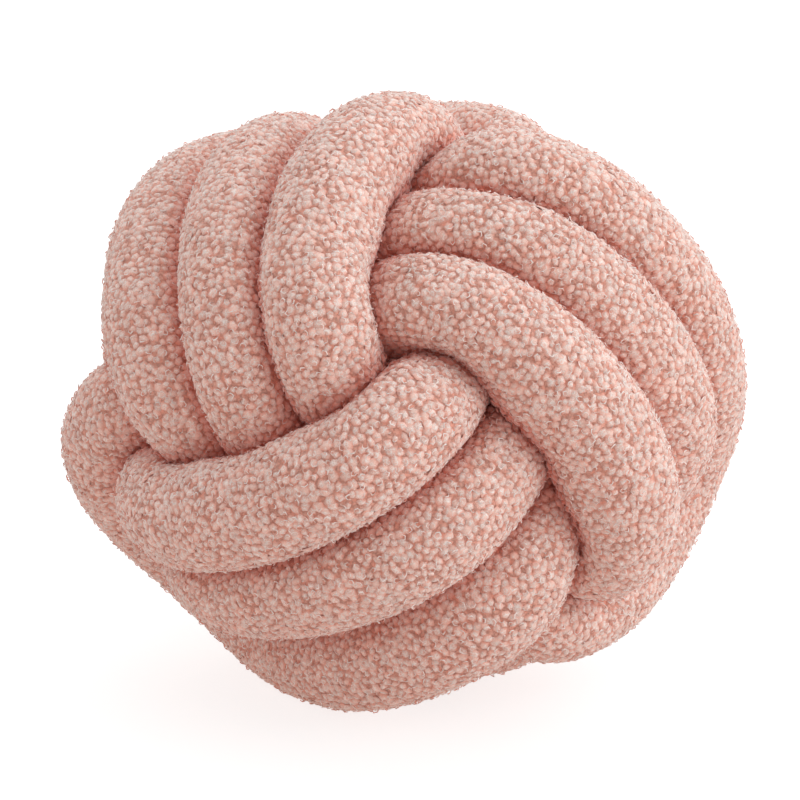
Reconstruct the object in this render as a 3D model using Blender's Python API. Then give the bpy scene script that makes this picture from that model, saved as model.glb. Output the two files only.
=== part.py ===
"""Knot cushion: one long stuffed tube of curly pile cloth, tied into a ball.

The tube goes three turns round each of three crossed loops, as in a ball knot.
Every loop lies outermost over two sides of the ball and dives under the next
loop at the two sides between.  The tube is one solid; where two strands press
on each other both are flattened to the plane midway between them.
All sizes are in metres, Z is up and the ball stands on Z = 0.
"""
import math

import bpy
import numpy as np
from mathutils import Matrix, Vector

# ---- sizes of the tube -------------------------------------------------------
TUBE_RADIUS = 0.0265      # stuffed tube, where nothing presses on it
PRESS_GAP = 0.0020        # left open between two strands that press on each other
TIGHTEST_BEND = 0.85      # a ring never reaches past this share of its own bend
RINGS = 370               # cross-sections along the closed tube
SIDES = 16                # points round each cross-section

# ---- sizes of the ball knot --------------------------------------------------
CREST_RADIUS = 0.117      # middle strand of a loop where it lies outermost
CREST_DROP = 0.0045       # the two side strands lie this much lower
UNDER_RADIUS = 0.074      # the loop where it passes under the next one
LANE_PITCH = 0.049        # strand to strand, side by side on a crest
UNDER_PINCH = 0.90        # the same, drawn together, where they pass under
DIVE_FROM = 22.0          # degrees from the crest at which a strand starts down
DIVE_TO = 83.0            # degrees from the crest at which it is right under
LOOP_START = 225.0 - 40.0     # degrees, where a loop takes the tube over
LOOP_END = -720.0 - 20.0      # degrees, where it hands the tube on
HAND_OVER = 1.2           # fullness of the bend from one loop to the next

# Each loop crosses a crest six times.  Odd passes lie on its far side, even ones
# on its near side; crest angles in degrees.
PASS_CREST = {1: 180.0, 2: 0.0, 3: -180.0, 4: -360.0, 5: -540.0, 6: -720.0}

# How far each pass lies from an even knot.
# loop, pass, sideways shift (m), lean (slope), lift (m)
PASSES = [
    ("P", 1, 0.003, 0.20, 0.003),
    ("P", 2, -0.006, 0.00, 0.000),
    ("P", 3, 0.000, 0.00, 0.000),
    ("P", 4, -0.001, -0.20, 0.000),
    ("P", 5, 0.000, -0.10, 0.000),
    ("P", 6, 0.002, -0.20, 0.000),
    ("Q", 1, -0.002, 0.10, -0.005),
    ("Q", 2, 0.002, -0.05, -0.003),
    ("Q", 3, 0.003, 0.00, 0.000),
    ("Q", 4, 0.009, 0.00, -0.002),
    ("Q", 5, 0.003, -0.10, 0.000),
    ("Q", 6, -0.002, -0.12, -0.003),
    ("R", 1, 0.000, -0.05, 0.003),
    ("R", 2, -0.005, 0.20, -0.001),
    ("R", 3, -0.002, 0.10, 0.000),
    ("R", 4, -0.003, 0.15, 0.000),
    ("R", 5, 0.004, 0.10, 0.000),
    ("R", 6, 0.013, 0.05, 0.007),
]

# ---- how the ball lies -------------------------------------------------------
CORNER_TILT = 3.0         # degrees, off the corner where the three loops meet
CORNER_SWING = 2.5        # degrees, to the side
CORNER_ROLL = 18.0        # degrees, about the corner
LOOK_DOWN = 17.0          # degrees, the corner faces up by this much
SETTLE = 0.925            # height kept after the ball has sunk under its weight
FOOT_PRESS = 0.009        # depth pressed flat where it stands

# ---- drawing the knot snug ---------------------------------------------------
CLOSEST = 0.036           # centrelines are pushed apart to this
SNUG_ROUNDS = 110
OWN_LENGTH = 0.065        # a strand doesn't press on this much of its own length
INNER, OUTER = 0.080, 0.108   # strands inside give way, strands outside stay


def ease(t):
    t = np.clip(t, 0.0, 1.0)
    return t * t * (3.0 - 2.0 * t)


def unit(v):
    return v / np.linalg.norm(v, axis=-1, keepdims=True)


def loop_line(name, angle):
    """Centreline of one loop: crest direction, under direction, sideways."""
    turn = np.radians(angle)
    from_crest = np.abs((angle + 90.0) % 180.0 - 90.0)
    high = ease((DIVE_TO - from_crest) / (DIVE_TO - DIVE_FROM))
    lane = 1.0 - ease((-50.0 - angle) / 80.0) - ease((-410.0 - angle) / 80.0)
    side = lane * LANE_PITCH * (UNDER_PINCH + (1.0 - UNDER_PINCH) * high)
    crest = CREST_RADIUS - CREST_DROP * lane ** 2
    radius = UNDER_RADIUS + (crest - UNDER_RADIUS) * high
    slope = np.zeros_like(angle)
    for loop, number, shift, lean, lift in PASSES:
        if loop == name:
            near = ease((115.0 - np.abs(angle - PASS_CREST[number])) / 50.0)
            side = side + near * shift
            slope = slope + near * lean
            radius = radius + near * lift * high
    side = side - slope * radius * np.sin(turn)
    return np.stack([radius * np.cos(turn), radius * np.sin(turn), side], 1)


def hand_over(p0, d0, p1, d1, count):
    """Free bend of the tube from the end of one loop to the start of the next."""
    t = np.linspace(0.0, 1.0, count)[1:-1, None]
    reach = HAND_OVER * np.linalg.norm(p1 - p0)
    return ((2 * t ** 3 - 3 * t ** 2 + 1) * p0 + (t ** 3 - 2 * t ** 2 + t) * d0 * reach
            + (3 * t ** 2 - 2 * t ** 3) * p1 + (t ** 3 - t ** 2) * d1 * reach)


def even_out(line, count):
    """The closed line again, with its points evenly spaced."""
    closed = np.vstack([line, line[:1]])
    along = np.concatenate([[0.0], np.cumsum(np.linalg.norm(np.diff(closed, axis=0), axis=1))])
    at = np.linspace(0.0, along[-1], count, endpoint=False)
    return np.stack([np.interp(at, along, closed[:, i]) for i in range(3)], 1)


def knot_line(count):
    """Closed centreline: loop P about Z, loop Q about X, loop R about Y."""
    angle = np.arange(LOOP_START, LOOP_END - 0.01, -0.5)
    # which of (crest, under, sideways) is X, Y, Z in each loop
    order = {"P": (0, 1, 2), "Q": (2, 0, 1), "R": (1, 2, 0)}
    loops = [loop_line(name, angle)[:, order[name]] for name in "PQR"]
    line = []
    for i in range(3):
        here, after = loops[i], loops[(i + 1) % 3]
        line.append(here)
        line.append(hand_over(here[-1], unit(here[-1] - here[-2]),
                              after[0], unit(after[1] - after[0]), 80))
    return even_out(np.concatenate(line), count)


def lie(line):
    """Turns the knot the way it lies and lets it sink a little."""
    look = unit(np.array([1.0, 1.0, 1.0]))
    up = unit(np.array([1.0, -2.0, 1.0]))
    right = np.cross(up, look)
    stand = Matrix((right, -look, up))
    turn = (Matrix.Rotation(math.radians(-LOOK_DOWN), 3, "X")
            @ Matrix.Rotation(math.radians(CORNER_ROLL), 3, "Y")
            @ Matrix.Rotation(math.radians(CORNER_SWING), 3, "Z").inverted()
            @ Matrix.Rotation(math.radians(CORNER_TILT), 3, "X").inverted())
    laid = line @ np.array(turn @ stand).T
    laid[:, 2] *= SETTLE
    return laid


def far_apart(count, step):
    """Pairs of points that belong to different strands."""
    number = np.arange(count)
    apart = np.abs(number[:, None] - number[None, :])
    return np.minimum(apart, count - apart) * step > OWN_LENGTH


def draw_snug(line):
    """Pushes crossing strands apart to CLOSEST, the inner ones giving way."""
    home = line.copy()
    step = np.linalg.norm(line - np.roll(line, 1, 0), axis=1).mean()
    other = far_apart(len(line), step)
    for _ in range(SNUG_ROUNDS):
        give = np.clip((OUTER - np.linalg.norm(line, axis=1)) / (OUTER - INNER), 0.03, 1.0)
        away = line[:, None] - line[None]
        gap = np.linalg.norm(away, axis=2) + 1e-6
        over = np.where(other, np.maximum(CLOSEST - gap, 0.0), 0.0)
        share = give[:, None] / (give[:, None] + give[None])
        push = (away * (over * share / gap)[..., None]).sum(1)
        push /= np.sqrt(np.maximum((over > 0.0).sum(1), 1.0))[:, None]
        for _ in range(3):
            push = (np.roll(push, 1, 0) + 2.0 * push + np.roll(push, -1, 0)) / 4.0
        line = line + 0.5 * push
        bend = (np.roll(line, 1, 0) + np.roll(line, -1, 0)) / 2.0 - line
        bend = (np.roll(bend, 1, 0) + np.roll(bend, -1, 0)) / 2.0 - bend
        line = line - 0.3 * bend
        line = line + 0.04 * (home - line) * (1.5 - give)[:, None]
    return even_out(line, len(line))


def ring_axes(line):
    """Two directions across the tube at every ring, turning as little as can be."""
    along = unit(np.roll(line, -1, 0) - np.roll(line, 1, 0))
    across = [unit(np.cross(along[0], (0.0, 0.0, 1.0)))]
    for i in range(1, len(line) + 1):
        here = along[i % len(line)]
        carried = across[-1] - here * np.dot(across[-1], here)
        across.append(unit(carried))
    first, last = across[0], across.pop()
    miss = math.atan2(np.dot(np.cross(last, first), along[0]), np.dot(last, first))
    across = np.array(across)
    down = np.cross(along, across)
    back = (miss * np.arange(len(line)) / len(line))[:, None]
    return across * np.cos(back) + down * np.sin(back), down * np.cos(back) - across * np.sin(back)


def pressed_radius(rings, line, out):
    """Reach of each ring in each direction, cut midway to every other strand."""
    reach = np.full(out.shape[:2], TUBE_RADIUS)
    step = np.linalg.norm(line - np.roll(line, 1, 0), axis=1).mean()
    every = len(line) // len(rings)
    other = far_apart(len(line), step)
    chord = (np.roll(rings, 1, 0) + np.roll(rings, -1, 0)) / 2.0 - rings
    bend = 2.0 * chord / (every * step) ** 2
    for i, centre in enumerate(rings):
        away = line - centre
        gap = np.linalg.norm(away, axis=1)
        press = other[i * every] & (gap < 2.0 * TUBE_RADIUS + PRESS_GAP)
        if press.any():
            facing = out[i] @ (away[press] / gap[press][:, None]).T
            limit = (gap[press] / 2.0 - PRESS_GAP / 2.0)[None] / np.maximum(facing, 0.02)
            reach[i] = np.minimum(reach[i], limit.min(1))
        inward = out[i] @ bend[i]
        reach[i] = np.minimum(reach[i], TIGHTEST_BEND / np.maximum(inward, 1e-3))
    return reach


def tube_mesh(name):
    line = draw_snug(lie(knot_line(2 * RINGS)))
    rings = line[::2]
    across, down = ring_axes(rings)
    turn = np.linspace(0.0, 2.0 * math.pi, SIDES, endpoint=False)[None, :, None]
    out = across[:, None] * np.cos(turn) + down[:, None] * np.sin(turn)
    reach = pressed_radius(rings, line, out)
    points = rings[:, None] + out * reach[..., None]
    points = points.reshape(-1, 3)
    # the foot: whatever is lower than the press is flattened into one plane
    floor = points[:, 2].min() + FOOT_PRESS
    points[:, 2] = np.maximum(points[:, 2], floor)
    low, high = points.min(0), points.max(0)
    points -= np.array([(low[0] + high[0]) / 2.0, (low[1] + high[1]) / 2.0, floor])
    faces = []
    for i in range(RINGS):
        j = (i + 1) % RINGS
        for k in range(SIDES):
            m = (k + 1) % SIDES
            faces.append((i * SIDES + k, i * SIDES + m, j * SIDES + m, j * SIDES + k))
    mesh = bpy.data.meshes.new(name)
    mesh.from_pydata([tuple(p) for p in points], [], faces)
    mesh.validate()
    return mesh


def cloth_material():
    cloth = bpy.data.materials.new("pink_pile_cloth")
    cloth.use_nodes = True
    shader = cloth.node_tree.nodes["Principled BSDF"]
    shader.inputs["Base Color"].default_value = (0.58, 0.33, 0.28, 1.0)
    shader.inputs["Roughness"].default_value = 0.95
    return cloth


for old in list(bpy.data.objects):
    bpy.data.objects.remove(old, do_unlink=True)

tube = bpy.data.objects.new("knot_tube", tube_mesh("knot_tube"))
bpy.context.scene.collection.objects.link(tube)
tube.data.materials.append(cloth_material())
for face in tube.data.polygons:
    face.use_smooth = True
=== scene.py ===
"""Knot cushion: one stuffed tube of curly pile cloth, tied into a ball, on a pale floor."""
import math

import bmesh
import bpy
import numpy as np
from mathutils import Matrix, Vector, noise
from mathutils.bvhtree import BVHTree


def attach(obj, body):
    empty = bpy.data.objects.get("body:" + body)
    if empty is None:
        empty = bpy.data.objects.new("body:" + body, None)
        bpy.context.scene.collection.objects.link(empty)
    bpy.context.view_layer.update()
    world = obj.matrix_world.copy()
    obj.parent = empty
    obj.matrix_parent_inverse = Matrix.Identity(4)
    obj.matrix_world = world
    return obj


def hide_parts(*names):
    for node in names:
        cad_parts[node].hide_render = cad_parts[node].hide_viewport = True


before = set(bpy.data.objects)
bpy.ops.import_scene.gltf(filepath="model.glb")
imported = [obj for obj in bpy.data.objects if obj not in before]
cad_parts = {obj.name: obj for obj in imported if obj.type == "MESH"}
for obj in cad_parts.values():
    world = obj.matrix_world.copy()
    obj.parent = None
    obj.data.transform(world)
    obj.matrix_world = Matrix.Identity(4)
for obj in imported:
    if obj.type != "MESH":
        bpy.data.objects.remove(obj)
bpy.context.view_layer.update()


# ---- The studio --------------------------------------------------------------
# White paper in a white room, and a long lens a metre and a half away that looks
# along +Y and down.  A wide soft box stands at the right and a weak one hangs
# overhead.  The wall behind the ball is bright, and the room behind the lens dim.
LOOK_DOWN = math.radians(17.0)
LENS_AWAY = 1.50
LENS_SEES = 20.0
SENSOR = 36.0
PICTURE_WIDTH = 800 * 0.0004354        # metres across the picture, at the ball
BALL_MIDDLE = Vector((0.0, 0.0, 0.1316))
AIM_LEFT = 0.0017                      # how far beside the middle the lens aims
AIM_DOWN = 0.0078
WHITE = (1.0, 1.0, 1.0, 1.0)
ROOM_BEHIND_LENS = (0.45, 0.385, 0.36, 1.0)
WALL_BEHIND_BALL = (1.46, 1.53, 1.54, 1.0)
WALL_SIDE = (0.42, 0.90, -0.05)        # the way from the ball to that wall
PAPER_REACH = 6.0
PAPER_COLOUR = (0.36, 0.36, 0.36, 1.0)
PAPER_SEEN = (0.76, 0.76, 0.76, 1.0)   # the glow that makes the paper look white
PAPER_BOUNCE = (0.42, 0.32, 0.28, 1.0)
LAMP_WHITE = (0.89, 1.0, 1.02)

SOFT_BOXES = (
    # name         place              size  watts
    ("box_right", (1.6, -0.6, 0.9), 1.2, 9.0),
    ("box_overhead", (0.1, 0.2, 1.8), 1.5, 1.5),
)

view_back = Vector((0.0, -math.cos(LOOK_DOWN), math.sin(LOOK_DOWN)))
view_up = Vector((0.0, math.sin(LOOK_DOWN), math.cos(LOOK_DOWN)))
view_right = Vector((1.0, 0.0, 0.0))
lens = bpy.data.cameras.new("studio_camera")
lens.sensor_width = SENSOR
lens.lens = SENSOR * LENS_AWAY / PICTURE_WIDTH
lens.clip_end = LENS_SEES
camera = bpy.data.objects.new("studio_camera", lens)
bpy.context.scene.collection.objects.link(camera)
bpy.context.scene.camera = camera
aim = BALL_MIDDLE - AIM_LEFT * view_right - AIM_DOWN * view_up
turned_to_ball = Matrix((view_right, view_up, view_back)).transposed().to_4x4()
camera.matrix_world = Matrix.Translation(aim + view_back * LENS_AWAY) @ turned_to_ball

for name, place, size, watts in SOFT_BOXES:
    light = bpy.data.lights.new(name, "AREA")
    light.size = size
    light.energy = watts
    light.color = LAMP_WHITE
    lamp = bpy.data.objects.new(name, light)
    bpy.context.scene.collection.objects.link(lamp)
    lamp.location = place
    lamp.rotation_euler = (BALL_MIDDLE - lamp.location).to_track_quat("-Z", "Y").to_euler()


def add(tree, kind, settings=None, inputs=None):
    """Adds a node; each input is a value, or the socket that feeds it."""
    made = tree.nodes.new(kind)
    for key, value in (settings or {}).items():
        setattr(made, key, value)
    for key, value in (inputs or {}).items():
        if isinstance(value, bpy.types.NodeSocket):
            tree.links.new(value, made.inputs[key])
        else:
            made.inputs[key].default_value = value
    return made


def seen_and_lit(tree, seen, lit):
    """A colour that the lens sees as one value, and that lights the ball as another."""
    lens_ray = add(tree, "ShaderNodeLightPath").outputs["Is Camera Ray"]
    return add(tree, "ShaderNodeMix", {"data_type": "RGBA"},
               {"Factor": lens_ray, "A": lit, "B": seen}).outputs["Result"]


world = bpy.data.worlds.new("white_surroundings")
world.use_nodes = True
sky = world.node_tree
direction = add(sky, "ShaderNodeTexCoord").outputs["Generated"]
to_wall = add(sky, "ShaderNodeVectorMath", {"operation": "DOT_PRODUCT"}, {0: direction, 1: WALL_SIDE})
wall_share = add(sky, "ShaderNodeMapRange", {},
                 {"Value": to_wall.outputs["Value"], "From Min": -1.0, "From Max": 1.0})
room = add(sky, "ShaderNodeMix", {"data_type": "RGBA"},
           {"Factor": wall_share.outputs["Result"], "A": ROOM_BEHIND_LENS, "B": WALL_BEHIND_BALL})
sky.links.new(seen_and_lit(sky, WHITE, room.outputs["Result"]), sky.nodes["Background"].inputs["Color"])
bpy.context.scene.world = world
bpy.context.scene.view_settings.view_transform = "Standard"

corners = [(-PAPER_REACH, -PAPER_REACH, 0.0), (PAPER_REACH, -PAPER_REACH, 0.0),
           (PAPER_REACH, PAPER_REACH, 0.0), (-PAPER_REACH, PAPER_REACH, 0.0)]
paper_mesh = bpy.data.meshes.new("paper_floor")
paper_mesh.from_pydata(corners, [], [(0, 1, 2, 3)])
floor = bpy.data.objects.new("paper_floor", paper_mesh)
bpy.context.scene.collection.objects.link(floor)
paper = bpy.data.materials.new("white_paper")
paper.use_nodes = True
shader = paper.node_tree.nodes["Principled BSDF"]
shader.inputs["Base Color"].default_value = PAPER_COLOUR
shader.inputs["Roughness"].default_value = 0.9
shader.inputs["Emission Strength"].default_value = 1.0
paper.node_tree.links.new(seen_and_lit(paper.node_tree, PAPER_SEEN, PAPER_BOUNCE),
                          shader.inputs["Emission Color"])
paper_mesh.materials.append(paper)


# ---- The stuffed tube --------------------------------------------------------
# One long sleeve of knitted backing, filled with loose polyester and tied into
# the ball.  The backing lies just under the pile and is faintly uneven.  Where
# strands press on each other it is let out, because the pile fills the gap there.
MERGE = 0.00002
PILE_DEPTH = 0.0006        # how far the backing lies in from the solid
SWELL = 0.0034             # how far it is let out where strands touch
SWELL_AIR = 0.28           # the open share below which it is
DENT_DEPTH = 0.0007
DENT_SIZE = 0.022
FOOT_SKIN = 0.0012         # the backing's height over the floor, at the foot

node = bpy.data.objects["knot_tube"]
shell = bmesh.new()
shell.from_mesh(node.data)
bmesh.ops.remove_doubles(shell, verts=shell.verts, dist=MERGE)
bmesh.ops.join_triangles(shell, faces=shell.faces, angle_face_threshold=math.pi,
                         angle_shape_threshold=math.pi, cmp_seam=False)
coarse = bpy.data.meshes.new("stuffed_tube")
shell.to_mesh(coarse)
shell.free()
cloth = bpy.data.objects.new("stuffed_tube", coarse)
bpy.context.scene.collection.objects.link(cloth)
rounded = cloth.modifiers.new("rounded", "SUBSURF")
rounded.levels = rounded.render_levels = 1
backing = bpy.data.meshes.new_from_object(
    cloth.evaluated_get(bpy.context.evaluated_depsgraph_get()))
cloth.modifiers.clear()
cloth.data = backing
backing.materials.clear()


def rows(items, field, width=3):
    """One field of a mesh's points or faces, as an array with a row for each."""
    flat = np.empty(len(items) * width)
    items.foreach_get(field, flat)
    return flat.reshape(-1, width)


# How open to the air each point is: the share of rays that get away from the ball.  It says where pile
# can stand up, where strands press it down, and how deep the painted shade in the creases is.
AIR_SEED = 7
RAYS = 28
START_OFF = 0.0012
BALL_ACROSS = 0.45
surface = rows(backing.vertices, "co")
outward = rows(backing.vertices, "normal")
ball = BVHTree.FromPolygons(surface.tolist(), [tuple(face.vertices) for face in backing.polygons])
directions = np.random.default_rng(AIR_SEED).normal(size=(RAYS, 3))
directions /= np.linalg.norm(directions, axis=1)[:, None]
open_air = np.empty(len(surface))
for i, (point, normal) in enumerate(zip(surface, outward)):
    start = Vector(point + normal * START_OFF)
    rays = directions * np.sign(directions @ normal)[:, None]
    away = [ball.ray_cast(start, Vector(ray), BALL_ACROSS)[0] is None for ray in rays]
    open_air[i] = sum(away) / RAYS
layer = backing.attributes.new("open_air", "FLOAT", "POINT")
layer.data.foreach_set("value", open_air)

dents = np.array([noise.noise(Vector(point) / DENT_SIZE) for point in surface])
pressed_in = 1.0 - np.clip(open_air / SWELL_AIR, 0.0, 1.0)
depth = PILE_DEPTH + DENT_DEPTH * (0.5 + 0.5 * dents) - (PILE_DEPTH + SWELL) * pressed_in
surface = surface - outward * depth[:, None]
surface[:, 2] = np.maximum(surface[:, 2], FOOT_SKIN)
backing.vertices.foreach_set("co", surface.ravel())
backing.shade_smooth()
backing.update()

# Backing and curls are both crimped fibres.  They show as fine grain, and as thin raised rings where one
# turn of a fibre lies on top; on the curls those rings also carry a painted highlight.
FLECK_DARK = 0.89
FLECK_PALE = 1.08
RING_WANDER = (0.0014, 0.0014, 0.0014)   # metres that a ring strays from round
RING_KINDS = (
    # rings per turn   radius, as a share of the room it has
    (1.0, 0.40),
    (1.6, 0.36),
)
RING_FULL = 0.02                         # half the ring's thickness, in the same share
RING_GONE = 0.09

fibres = bpy.data.node_groups.new("crimped_fibres", "ShaderNodeTree")
for name, socket_type in (("Vector", "NodeSocketVector"), ("Fibres Per Metre", "NodeSocketFloat"),
                          ("Turns Per Metre", "NodeSocketFloat")):
    fibres.interface.new_socket(name, in_out="INPUT", socket_type=socket_type)
for name in ("Height", "Fleck", "Turn"):
    fibres.interface.new_socket(name, in_out="OUTPUT", socket_type="NodeSocketFloat")
given = add(fibres, "NodeGroupInput").outputs
crimp = add(fibres, "ShaderNodeTexNoise", {},
            {"Vector": given["Vector"], "Scale": given["Fibres Per Metre"],
             "Detail": 2.0, "Roughness": 0.6, "Distortion": 0.8})
fleck = add(fibres, "ShaderNodeMapRange", {},
            {"Value": crimp.outputs["Fac"], "From Min": 0.35, "From Max": 0.65,
             "To Min": FLECK_DARK, "To Max": FLECK_PALE})
bend = add(fibres, "ShaderNodeVectorMath", {"operation": "SUBTRACT"},
           {0: crimp.outputs["Color"], 1: (0.5, 0.5, 0.5)})
bent = add(fibres, "ShaderNodeVectorMath", {"operation": "MULTIPLY_ADD"},
           {0: bend.outputs["Vector"], 1: RING_WANDER, 2: given["Vector"]})
rings = []
for share, radius in RING_KINDS:
    turns = add(fibres, "ShaderNodeMath", {"operation": "MULTIPLY"},
                {0: given["Turns Per Metre"], 1: share}).outputs["Value"]
    cell = add(fibres, "ShaderNodeTexVoronoi", {},
               {"Vector": bent.outputs["Vector"], "Scale": turns}).outputs["Distance"]
    off = add(fibres, "ShaderNodeMath", {"operation": "SUBTRACT"}, {0: cell, 1: radius}).outputs["Value"]
    away = add(fibres, "ShaderNodeMath", {"operation": "ABSOLUTE"}, {0: off}).outputs["Value"]
    rings.append(add(fibres, "ShaderNodeMapRange", {"interpolation_type": "SMOOTHSTEP"},
                     {"Value": away, "From Min": RING_FULL, "From Max": RING_GONE,
                      "To Min": 1.0, "To Max": 0.0}).outputs["Result"])
turn = add(fibres, "ShaderNodeMath", {"operation": "MAXIMUM"}, {0: rings[0], 1: rings[1]})
raised = add(fibres, "ShaderNodeMath", {"operation": "ADD"},
             {0: crimp.outputs["Fac"], 1: turn.outputs["Value"]})
add(fibres, "NodeGroupOutput", {}, {"Height": raised.outputs["Value"],
                                    "Fleck": fleck.outputs["Result"],
                                    "Turn": turn.outputs["Value"]})

# Painted shade: where strands press together little light gets in, so there the pile's colour is painted
# deep red by how little of it is open to the air.
CREASE_SHADE_COLOUR = (0.80, 0.20, 0.13, 1.0)
CREASE_SHADE_MOST = 0.9            # the share of that red in the closest creases
FULL_SHADE_AIR = 0.05          # the open share at which it is reached
NO_SHADE_AIR = 0.62         # the open share from which there is none

crease_shade_group = bpy.data.node_groups.new("crease_painted_shade", "ShaderNodeTree")
crease_shade_group.interface.new_socket("Color", in_out="INPUT", socket_type="NodeSocketColor")
crease_shade_group.interface.new_socket("Color", in_out="OUTPUT", socket_type="NodeSocketColor")
air = add(crease_shade_group, "ShaderNodeAttribute", {"attribute_name": "open_air"}).outputs["Fac"]
crease_shade_share = add(crease_shade_group, "ShaderNodeMapRange", {},
                {"Value": air, "From Min": FULL_SHADE_AIR, "From Max": NO_SHADE_AIR,
                 "To Min": CREASE_SHADE_MOST, "To Max": 0.0})
deep = add(crease_shade_group, "ShaderNodeMix", {"data_type": "RGBA"},
           {"Factor": crease_shade_share.outputs["Result"],
            "A": add(crease_shade_group, "NodeGroupInput").outputs["Color"], "B": CREASE_SHADE_COLOUR})
add(crease_shade_group, "NodeGroupOutput", {}, {"Color": deep.outputs["Result"]})

# What shows of the backing between the curls is the roots of the pile: small crowns in the mid colour,
# and the deep root colour in the gaps between them, which is partly the pile's own tone and partly
# painted shade.
SHADED_ROOT_COLOUR = (0.89, 0.405, 0.31, 1.0)
MID_COLOUR = (0.90, 0.49, 0.395, 1.0)
ROOTS_PER_METRE = 420.0
ROOT_RELIEF = 0.0010
FIBRE_SHARE = 0.3          # how much of that relief the fibres have

ground = bpy.data.materials.new("pile_ground")
ground.use_nodes = True
tree = ground.node_tree
place = add(tree, "ShaderNodeTexCoord").outputs["Object"]
small_curls = add(tree, "ShaderNodeTexVoronoi", {"feature": "SMOOTH_F1"},
                  {"Vector": place, "Scale": ROOTS_PER_METRE, "Smoothness": 0.3})
root = add(tree, "ShaderNodeMapRange", {},
           {"Value": small_curls.outputs["Distance"], "From Min": 0.25, "From Max": 0.75,
            "To Min": 1.0, "To Max": 0.0})
# painted shade in the gaps between the small crowns
gap_shaded_tone = add(tree, "ShaderNodeMix", {"data_type": "RGBA"},
           {"Factor": root.outputs["Result"], "A": SHADED_ROOT_COLOUR, "B": MID_COLOUR})
grain = add(tree, "ShaderNodeGroup", {"node_tree": fibres},
            {"Vector": place, "Fibres Per Metre": 1100.0, "Turns Per Metre": 330.0})
flecked = add(tree, "ShaderNodeMix", {"data_type": "RGBA", "blend_type": "MULTIPLY"},
              {"Factor": 1.0, "A": gap_shaded_tone.outputs["Result"], "B": grain.outputs["Fleck"]})
relief = add(tree, "ShaderNodeMath", {"operation": "MULTIPLY_ADD"},
             {0: grain.outputs["Height"], 1: FIBRE_SHARE, 2: root.outputs["Result"]})
bump = add(tree, "ShaderNodeBump", {}, {"Height": relief.outputs["Value"], "Distance": ROOT_RELIEF})
# painted shade in the creases, by how open to the air they are
crease_shaded = add(tree, "ShaderNodeGroup", {"node_tree": crease_shade_group}, {"Color": flecked.outputs["Result"]})
shader = tree.nodes["Principled BSDF"]
tree.links.new(crease_shaded.outputs["Color"], shader.inputs["Base Color"])
tree.links.new(bump.outputs["Normal"], shader.inputs["Normal"])
shader.inputs["Roughness"].default_value = 0.95
shader.inputs["Specular IOR Level"].default_value = 0.2
shader.inputs["Sheen Weight"].default_value = 0.25
shader.inputs["Sheen Roughness"].default_value = 0.5
backing.materials.append(ground)
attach(cloth, "root")
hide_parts("knot_tube")


# ---- The curls ---------------------------------------------------------------
# The pile: loops of crimped yarn that stand close together on the backing.  Most
# have felted into a low round tuft, and thin turns of yarn lie on top of them.
# They are kept in six pieces, like the segments of an orange.
SEGMENTS = 6
SEED = 11
LEAST_AIR = 0.03           # the open share below which no curl stands
FULL_AIR = 0.10            # the open share from which they stand close
SPARSE = 0.35              # how much of the pile is left at the least air
DENSEST = 1.5e6            # tries per square metre, far more than find room
SHARP = math.radians(100.0)
WOBBLES_PER_METRE = 700.0
WOBBLE = (0.0010, 0.0010, 0.0010)
LOWEST = (-1.0, -1.0, 0.0003)          # no point of a curl lies below this height

TUFT_RADIUS = 0.0024
TUFT_SPACING = 0.00288
TUFT_SIDES = 5
TUFT_SHAPE = (
    # out    up    how near the pile's top; out and up are shares of the radius
    (1.00, -0.26, 0.0),
    (0.62, 0.10, 0.60),
    (0.00, 0.26, 1.0),
)

CURL_RADIUS = 0.00115
CURL_SPACING = 0.0037
CURL_BEND = math.radians(265.0)
CURL_STEPS = 4
CURL_START = 0.85          # its radius at one end, as a share
CURL_OPENS = 0.3           # what it gains by the other end
CURL_DIP = 0.5             # how deep its ends dip into the pile, as a share of the radius
CURL_LOW = 0.6             # how near the pile's top its ends count, past 1.0 for yarn
CURL_HIGH = 1.4            # what its middle gains
YARN_RADIUS = 0.00026
YARN_SIDES = 3
YARN_END = 0.55            # the yarn's thickness at the ends, as a share
YARN_SWELLS = 0.45         # what it gains in the middle

# Painted light and shade on the curls: a face low on its curl, or turned away from the backing, gets the
# deep root colour as painted shade, and a face near the top that looks out of the pile gets the pale tip
# colour, partly the pile's own tone and partly painted light.
LIT_TIP_COLOUR = (0.95, 0.68, 0.60, 1.0)
LIT_TURN_COLOUR = (1.0, 0.91, 0.87, 1.0)
RING_HIGHLIGHT_COLOUR = (1.0, 0.92, 0.88, 1.0)
SIDE_WALL = -0.4           # how far a face looks out of the backing: still root colour
TOP_WALL = 0.85            # and from here on all tip colour
ON_TUFT = (-0.05, 0.95)    # between these marks of "top" a tuft turns pale
ON_YARN = (1.05, 1.7)      # and between these a turn of yarn
DYE = (0.90, 1.07)         # how unevenly the curls took the dye
CURL_RELIEF = 0.00005

yarn = bpy.data.materials.new("crimped_yarn")
yarn.use_nodes = True
tree = yarn.node_tree


def attribute(name, output="Fac"):
    """A value that the curls' mesh carries."""
    return add(tree, "ShaderNodeAttribute", {"attribute_name": name}).outputs[output]


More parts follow.
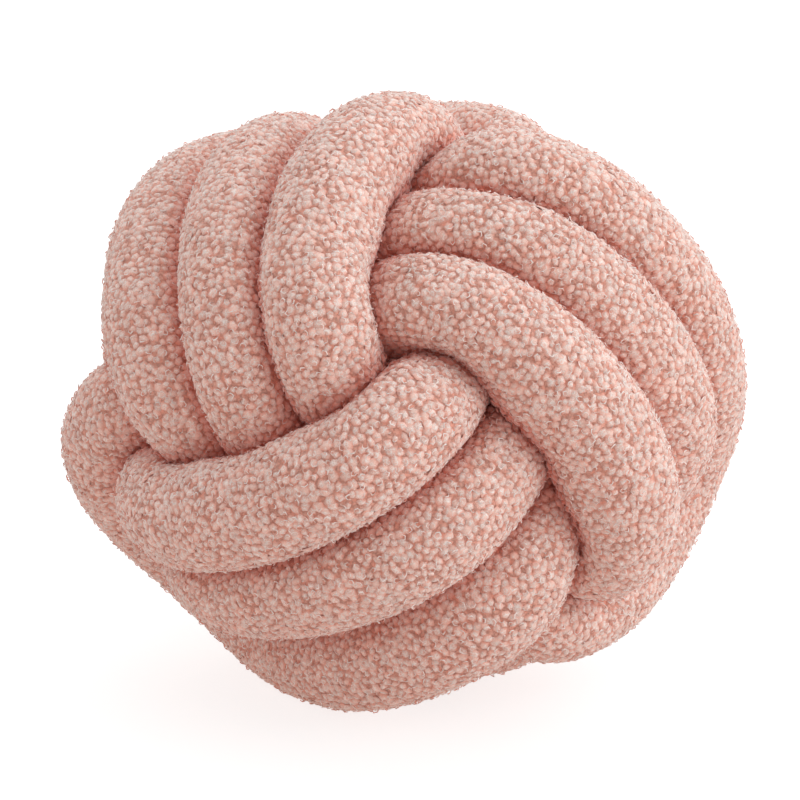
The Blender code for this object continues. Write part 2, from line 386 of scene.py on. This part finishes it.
place = add(tree, "ShaderNodeTexCoord").outputs["Object"]
out_of_backing = add(tree, "ShaderNodeVectorTransform",
                     {"vector_type": "NORMAL", "convert_from": "OBJECT", "convert_to": "WORLD"},
                     {"Vector": attribute("lie", "Vector")}).outputs["Vector"]
own = add(tree, "ShaderNodeNewGeometry").outputs["Normal"]
facing_out = add(tree, "ShaderNodeVectorMath", {"operation": "DOT_PRODUCT"}, {0: own, 1: out_of_backing})
lit_facing_share = add(tree, "ShaderNodeMapRange", {"interpolation_type": "SMOOTHSTEP"},
             {"Value": facing_out.outputs["Value"], "From Min": SIDE_WALL, "From Max": TOP_WALL})
near_top = add(tree, "ShaderNodeMapRange", {},
               {"Value": attribute("top"), "From Min": ON_TUFT[0], "From Max": ON_TUFT[1]})
lit_up_the_side = add(tree, "ShaderNodeMath", {"operation": "MULTIPLY"},
                  {0: near_top.outputs["Result"], 1: lit_facing_share.outputs["Result"]})
# painted shade low on the curls and on their sides, painted light near their tops
shaded_root_to_lit_tip = add(tree, "ShaderNodeMix", {"data_type": "RGBA"},
                  {"Factor": lit_up_the_side.outputs["Value"], "A": SHADED_ROOT_COLOUR, "B": LIT_TIP_COLOUR})
grain = add(tree, "ShaderNodeGroup", {"node_tree": fibres},
            {"Vector": place, "Fibres Per Metre": 1500.0, "Turns Per Metre": 330.0})
# painted highlight along the fibre rings on the curls' tops
ring_highlight = add(tree, "ShaderNodeMath", {"operation": "MULTIPLY"},
           {0: grain.outputs["Turn"], 1: lit_up_the_side.outputs["Value"]})
ring_highlighted = add(tree, "ShaderNodeMix", {"data_type": "RGBA"},
             {"Factor": ring_highlight.outputs["Value"], "A": shaded_root_to_lit_tip.outputs["Result"], "B": RING_HIGHLIGHT_COLOUR})
# a turn of yarn is pale on the faces that look out of the pile, partly the yarn's own pale colour and
# partly painted light, with painted shade on its underside
is_yarn = add(tree, "ShaderNodeMapRange", {},
              {"Value": attribute("top"), "From Min": ON_YARN[0], "From Max": ON_YARN[1]})
lit_yarn_top = add(tree, "ShaderNodeMath", {"operation": "MULTIPLY"},
               {0: is_yarn.outputs["Result"], 1: lit_facing_share.outputs["Result"]})
turned = add(tree, "ShaderNodeMix", {"data_type": "RGBA"},
             {"Factor": lit_yarn_top.outputs["Value"], "A": ring_highlighted.outputs["Result"], "B": LIT_TURN_COLOUR})
dyed = add(tree, "ShaderNodeMapRange", {},
           {"Value": attribute("dye"), "To Min": DYE[0], "To Max": DYE[1]})
shade = add(tree, "ShaderNodeMath", {"operation": "MULTIPLY"},
            {0: dyed.outputs["Result"], 1: grain.outputs["Fleck"]})
tinted = add(tree, "ShaderNodeMix", {"data_type": "RGBA", "blend_type": "MULTIPLY"},
             {"Factor": 1.0, "A": turned.outputs["Result"], "B": shade.outputs["Value"]})
bump = add(tree, "ShaderNodeBump", {}, {"Height": grain.outputs["Height"], "Distance": CURL_RELIEF})
# painted shade in the creases, by how open to the air they are
crease_shaded = add(tree, "ShaderNodeGroup", {"node_tree": crease_shade_group}, {"Color": tinted.outputs["Result"]})
shader = tree.nodes["Principled BSDF"]
tree.links.new(crease_shaded.outputs["Color"], shader.inputs["Base Color"])
tree.links.new(bump.outputs["Normal"], shader.inputs["Normal"])
shader.inputs["Roughness"].default_value = 0.85
shader.inputs["Specular IOR Level"].default_value = 0.1
shader.inputs["Sheen Weight"].default_value = 1.0
shader.inputs["Sheen Roughness"].default_value = 0.5
shader.inputs["Sheen Tint"].default_value = (1.0, 0.97, 0.95, 1.0)


def one_curl(name, points, faces, tops):
    """The mesh object of one curl, which marks how near each point is to the pile's top."""
    mesh = bpy.data.meshes.new(name)
    mesh.from_pydata(points, [], faces)
    mesh.attributes.new("top", "FLOAT", "POINT").data.foreach_set("value", tops)
    mesh.materials.append(yarn)
    mesh.shade_smooth()
    mesh.set_sharp_from_angle(angle=SHARP)
    made = bpy.data.objects.new(name, mesh)
    bpy.context.scene.collection.objects.link(made)
    return made


def felted_tuft():
    """A felted curl: a low crown on a wide rim, closed underneath."""
    points, tops = [], []
    for out, up, top in TUFT_SHAPE:
        corners_here = TUFT_SIDES if out else 1
        for k in range(corners_here):
            angle = 2.0 * math.pi * k / corners_here
            points.append((out * TUFT_RADIUS * math.cos(angle), out * TUFT_RADIUS * math.sin(angle),
                           up * TUFT_RADIUS))
            tops.append(top)
    faces = [tuple(reversed(range(TUFT_SIDES)))]
    for k in range(TUFT_SIDES):
        after = (k + 1) % TUFT_SIDES
        faces.append((k, after, TUFT_SIDES + after, TUFT_SIDES + k))
        faces.append((TUFT_SIDES + k, TUFT_SIDES + after, 2 * TUFT_SIDES))
    return one_curl("felted_tuft", points, faces, tops)


def yarn_curl():
    """A turn of yarn that lies on the pile, both ends dipping into it."""
    points, faces, tops = [], [], []
    for k in range(CURL_STEPS + 1):
        along = k / CURL_STEPS
        angle = (along - 0.5) * CURL_BEND
        middle = math.sin(math.pi * along)
        reach = CURL_RADIUS * (CURL_START + CURL_OPENS * along)
        thick = YARN_RADIUS * (YARN_END + YARN_SWELLS * middle)
        for j in range(YARN_SIDES):
            round_yarn = 2.0 * math.pi * j / YARN_SIDES
            out = reach + thick * math.cos(round_yarn)
            points.append((out * math.cos(angle), out * math.sin(angle),
                           (middle - 1.0) * CURL_DIP * CURL_RADIUS + thick * math.sin(round_yarn)))
            tops.append(CURL_LOW + CURL_HIGH * middle)
    for k in range(CURL_STEPS):
        here, there = k * YARN_SIDES, (k + 1) * YARN_SIDES
        for j in range(YARN_SIDES):
            after = (j + 1) % YARN_SIDES
            faces.append((here + j, there + j, there + after, here + after))
    faces.append(tuple(range(YARN_SIDES)))
    faces.append(tuple(reversed(range(CURL_STEPS * YARN_SIDES, (CURL_STEPS + 1) * YARN_SIDES))))
    return one_curl("yarn_curl", points, faces, tops)


CURL_KINDS = (
    # rise: metres it stands up; tip: radians it leans; least and most: its size in X, Y and Z
    dict(name="Tuft", shape=felted_tuft(), spacing=TUFT_SPACING, rise=(0.0002, 0.0005),
         tip=0.16, least=(0.70, 0.65, 0.75), most=(1.40, 1.30, 1.30)),
    dict(name="Curl", shape=yarn_curl(), spacing=CURL_SPACING, rise=(0.0008, 0.0014),
         tip=0.5, least=(0.75, 0.75, 0.75), most=(1.40, 1.20, 1.30)),
)


def planting_tree(kinds):
    """Nodes that plant each kind of curl on one segment of the backing."""
    tree = bpy.data.node_groups.new("plant_curls", "GeometryNodeTree")
    sockets = [("Backing", "NodeSocketGeometry"), ("Segment", "NodeSocketFloat"),
               ("Least Air", "NodeSocketFloat"), ("Full Air", "NodeSocketFloat"),
               ("Yarn", "NodeSocketMaterial")]
    for kind in kinds:
        sockets += [(kind["name"], "NodeSocketObject"), (kind["name"] + " Spacing", "NodeSocketFloat")]
    for name, socket_type in sockets:
        tree.interface.new_socket(name, in_out="INPUT", socket_type=socket_type)
    tree.interface.new_socket("Curls", in_out="OUTPUT", socket_type="NodeSocketGeometry")
    given = add(tree, "NodeGroupInput").outputs

    def stored(name):
        return add(tree, "GeometryNodeInputNamedAttribute", {"data_type": "FLOAT"},
                   {"Name": name}).outputs["Attribute"]

    air = stored("open_air")
    same = add(tree, "ShaderNodeMath", {"operation": "COMPARE"},
               {0: stored("segment"), 1: given["Segment"], 2: 0.1}).outputs["Value"]
    airy = add(tree, "ShaderNodeMath", {"operation": "GREATER_THAN"},
               {0: air, 1: given["Least Air"]}).outputs["Value"]
    here = add(tree, "ShaderNodeMath", {"operation": "MULTIPLY"}, {0: same, 1: airy}).outputs["Value"]
    crowd = add(tree, "ShaderNodeMapRange", {},
                {"Value": air, "From Min": given["Least Air"], "From Max": given["Full Air"],
                 "To Min": SPARSE, "To Max": 1.0}).outputs["Result"]
    join = add(tree, "GeometryNodeJoinGeometry")
    for number, kind in enumerate(kinds):
        seed = SEED + 10 * number
        scatter = add(tree, "GeometryNodeDistributePointsOnFaces", {"distribute_method": "POISSON"},
                      {"Mesh": given["Backing"], "Selection": here, "Density Factor": crowd,
                       "Distance Min": given[kind["name"] + " Spacing"], "Density Max": DENSEST,
                       "Seed": seed}).outputs
        rise = add(tree, "FunctionNodeRandomValue", {"data_type": "FLOAT"},
                   {"Min": kind["rise"][0], "Max": kind["rise"][1], "Seed": seed + 1})
        lift = add(tree, "ShaderNodeVectorMath", {"operation": "SCALE"},
                   {0: scatter["Normal"], "Scale": rise.outputs["Value"]})
        facing = add(tree, "GeometryNodeStoreNamedAttribute",
                     {"data_type": "FLOAT_VECTOR", "domain": "POINT"},
                     {"Geometry": scatter["Points"], "Name": "lie", "Value": scatter["Normal"]})
        spots = add(tree, "GeometryNodeSetPosition", {},
                    {"Geometry": facing.outputs["Geometry"], "Offset": lift.outputs["Vector"]})
        tip = kind["tip"]
        tips = add(tree, "FunctionNodeRandomValue", {"data_type": "FLOAT_VECTOR"},
                   {"Min": (-tip, -tip, -math.pi), "Max": (tip, tip, math.pi), "Seed": seed + 2})
        tipped = add(tree, "FunctionNodeRotateRotation", {"rotation_space": "LOCAL"},
                     {"Rotation": scatter["Rotation"], "Rotate By": tips.outputs["Value"]})
        sizes = add(tree, "FunctionNodeRandomValue", {"data_type": "FLOAT_VECTOR"},
                    {"Min": kind["least"], "Max": kind["most"], "Seed": seed + 3})
        shape = add(tree, "GeometryNodeObjectInfo", {}, {"Object": given[kind["name"]]})
        planted = add(tree, "GeometryNodeInstanceOnPoints", {},
                      {"Points": spots.outputs["Geometry"], "Instance": shape.outputs["Geometry"],
                       "Rotation": tipped.outputs["Rotation"], "Scale": sizes.outputs["Value"]})
        dye = add(tree, "FunctionNodeRandomValue", {"data_type": "FLOAT"}, {"Seed": seed + 4})
        dyed = add(tree, "GeometryNodeStoreNamedAttribute", {"data_type": "FLOAT", "domain": "INSTANCE"},
                   {"Geometry": planted.outputs["Instances"], "Name": "dye",
                    "Value": dye.outputs["Value"]})
        tree.links.new(dyed.outputs["Geometry"], join.inputs["Geometry"])
    real = add(tree, "GeometryNodeRealizeInstances", {}, {"Geometry": join.outputs["Geometry"]})

    # no two curls are quite alike, and none goes below the floor
    place = add(tree, "GeometryNodeInputPosition").outputs["Position"]
    wobble = add(tree, "ShaderNodeTexNoise", {},
                 {"Vector": place, "Scale": WOBBLES_PER_METRE, "Detail": 1.0})
    either_way = add(tree, "ShaderNodeVectorMath", {"operation": "SUBTRACT"},
                     {0: wobble.outputs["Color"], 1: (0.5, 0.5, 0.5)})
    shift = add(tree, "ShaderNodeVectorMath", {"operation": "MULTIPLY_ADD"},
                {0: either_way.outputs["Vector"], 1: WOBBLE, 2: place})
    above_floor = add(tree, "ShaderNodeVectorMath", {"operation": "MAXIMUM"},
                      {0: shift.outputs["Vector"], 1: LOWEST})
    moved = add(tree, "GeometryNodeSetPosition", {},
                {"Geometry": real.outputs["Geometry"], "Position": above_floor.outputs["Vector"]})
    painted = add(tree, "GeometryNodeSetMaterial", {},
                  {"Geometry": moved.outputs["Geometry"], "Material": given["Yarn"]})
    add(tree, "NodeGroupOutput", {}, {"Curls": painted.outputs["Geometry"]})
    return tree


middles = rows(backing.polygons, "center")
sector = (np.arctan2(middles[:, 1], middles[:, 0]) / (2.0 * math.pi) + 0.5) * SEGMENTS
layer = backing.attributes.new("segment", "FLOAT", "FACE")
layer.data.foreach_set("value", np.clip(np.floor(sector), 0, SEGMENTS - 1))

planting = planting_tree(CURL_KINDS)
socket = {item.name: item.identifier for item in planting.interface.items_tree}
for number in range(SEGMENTS):
    curls = bpy.data.objects.new("curls_%d" % (number + 1), backing)
    bpy.context.scene.collection.objects.link(curls)
    plant = curls.modifiers.new("plant_curls", "NODES")
    plant.node_group = planting
    plant[socket["Segment"]] = float(number)
    plant[socket["Least Air"]] = LEAST_AIR
    plant[socket["Full Air"]] = FULL_AIR
    plant[socket["Yarn"]] = yarn
    for kind in CURL_KINDS:
        plant[socket[kind["name"]]] = kind["shape"]
        plant[socket[kind["name"] + " Spacing"]] = kind["spacing"]
    planted = bpy.data.meshes.new_from_object(
        curls.evaluated_get(bpy.context.evaluated_depsgraph_get()))
    curls.modifiers.clear()
    curls.data = planted
    planted.shade_smooth()
    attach(curls, "root")
for kind in CURL_KINDS:
    bpy.data.objects.remove(kind["shape"])
